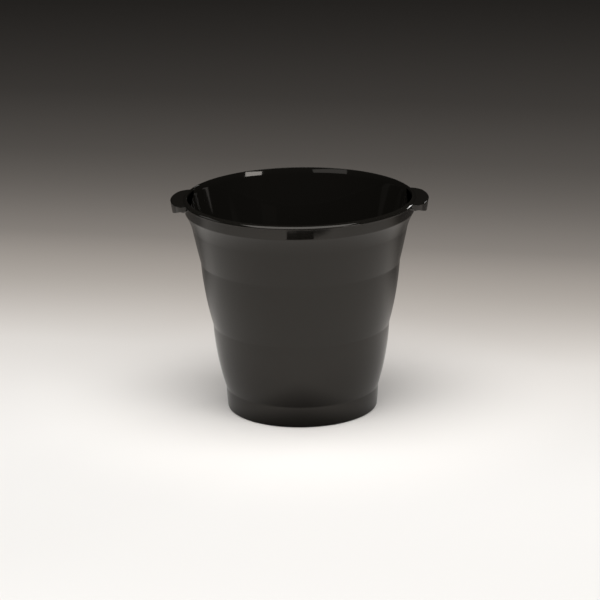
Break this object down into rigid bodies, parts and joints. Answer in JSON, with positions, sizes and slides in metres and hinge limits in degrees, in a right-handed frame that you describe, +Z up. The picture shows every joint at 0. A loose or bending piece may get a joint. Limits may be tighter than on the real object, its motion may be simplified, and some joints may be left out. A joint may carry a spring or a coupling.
{
  "type": "wine bucket",
  "caption": "Tapered moulded plastic bucket with stepped tiers, a crowned rim and ear handles, for cooling a wine bottle in ice.",
  "frame": {"origin": "centre of the standing ring, on the surface that the bucket stands on", "axes": "+Z up along the bucket's axis, +X along the line through both ears, towards the right ear"},
  "size_m": [0.2408, 0.218, 0.2045],
  "materials": {
    "gloss_black": "moulded gloss black, solid colour"
  },
  "bodies": {
    "root": {"tub": "gloss_black", "ear_right": "gloss_black", "ear_left": "gloss_black"}
  },
  "joints": []
}
